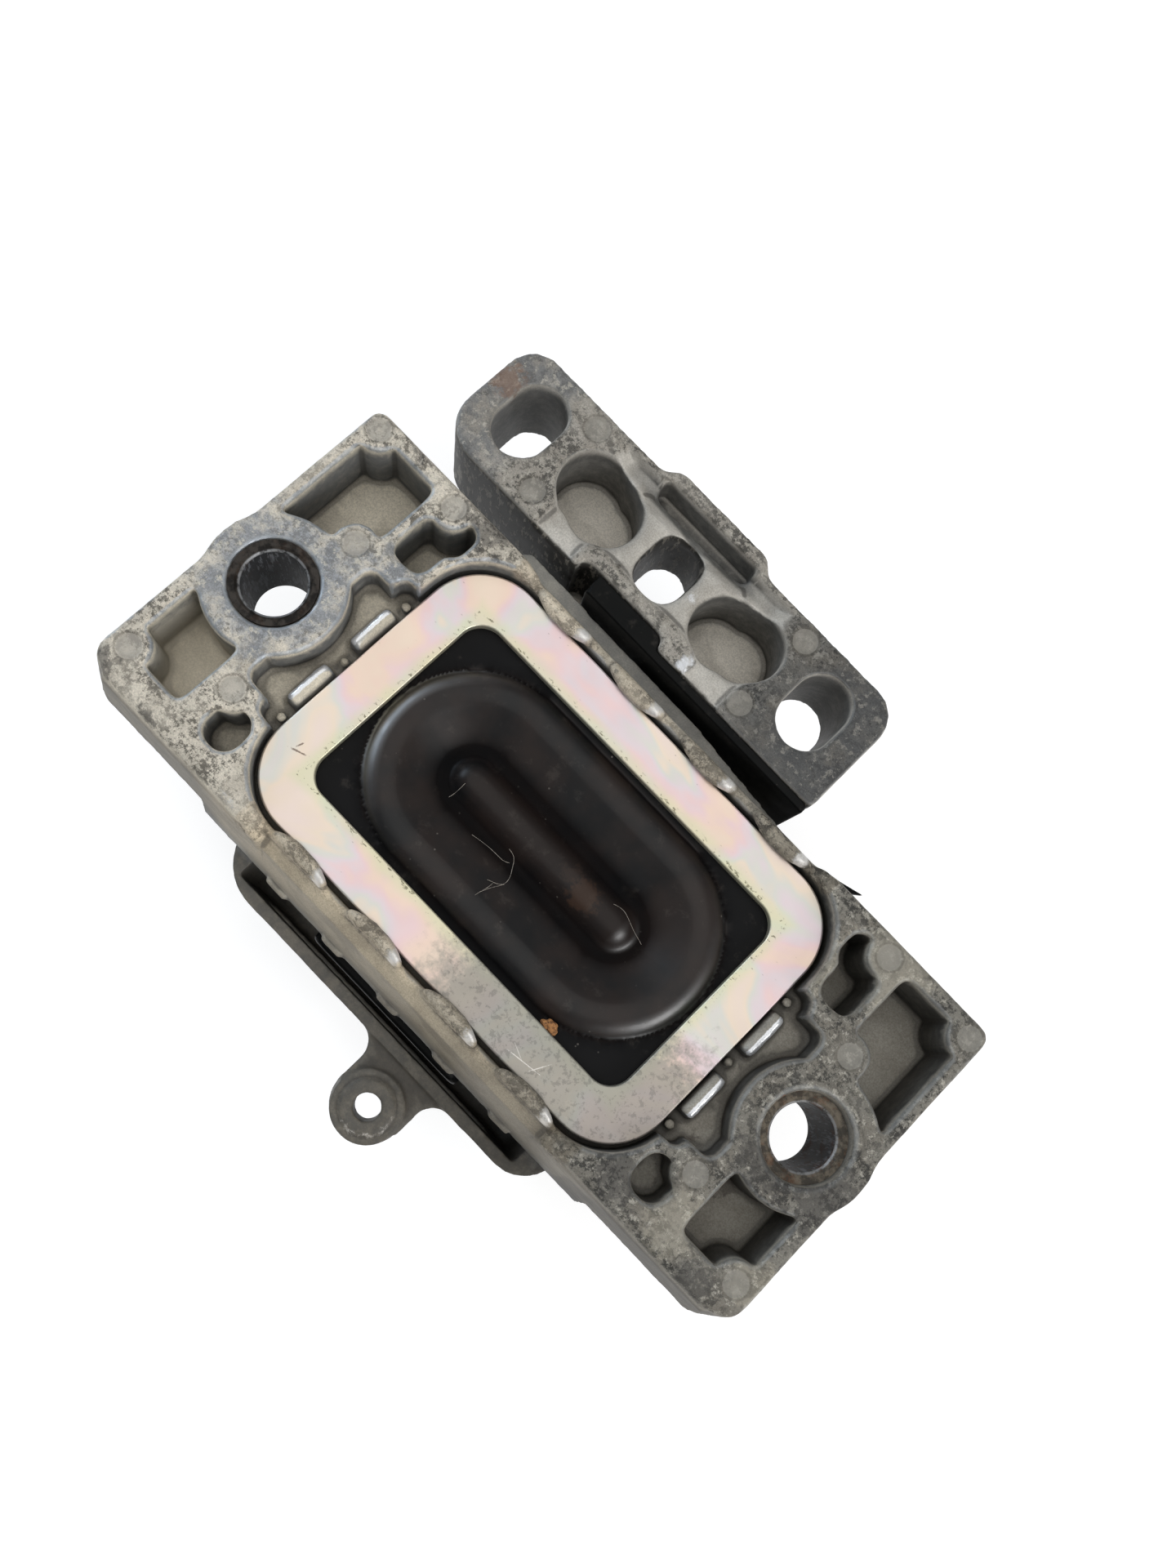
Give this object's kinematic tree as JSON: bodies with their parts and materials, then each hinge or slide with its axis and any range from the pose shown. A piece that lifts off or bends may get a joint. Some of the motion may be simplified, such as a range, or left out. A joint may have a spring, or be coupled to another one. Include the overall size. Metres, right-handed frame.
{
  "type": "hydraulic engine mount",
  "caption": "Cast mount with two bolted feet, a rubber diaphragm clamped by a staked oblong ring, an arch and a slotted side arm.",
  "frame": {"origin": "midway between the two body bolts, in the plane of the feet's faces", "axes": "+X along the feet towards the foot with the raised lip, +Y towards the slotted arm, +Z out of the feet's faces, away from the arch"},
  "size_m": [0.222, 0.1845, 0.0926],
  "materials": {
    "cast_housing": "weathered die-cast aluminium, mottled grey with darker blotches",
    "cast_arm": "die-cast aluminium, darker and grainier at the ends",
    "passivated_zinc": "zinc plate with a pink and green iridescent passivation",
    "sleeve_steel": "dark, slightly rusty steel",
    "inner_metal": "plain cast aluminium, hidden inside",
    "rubber": "smooth brown-black moulded rubber"
  },
  "bodies": {
    "root": {"housing": "cast_housing", "sleeve_left": "sleeve_steel", "sleeve_right": "sleeve_steel", "clamp_ring": "passivated_zinc", "diaphragm": "rubber", "track_tray": "inner_metal", "decoupler_membrane": "rubber", "track_cover": "inner_metal", "spring_carrier": "inner_metal", "main_spring": "rubber", "core_arm": "cast_arm", "rebound_buffer": "rubber", "side_buffer_left": "rubber", "side_buffer_right": "rubber", "back_buffer": "rubber", "arm_buffer": "rubber", "edge_lip": "rubber"}
  },
  "joints": []
}
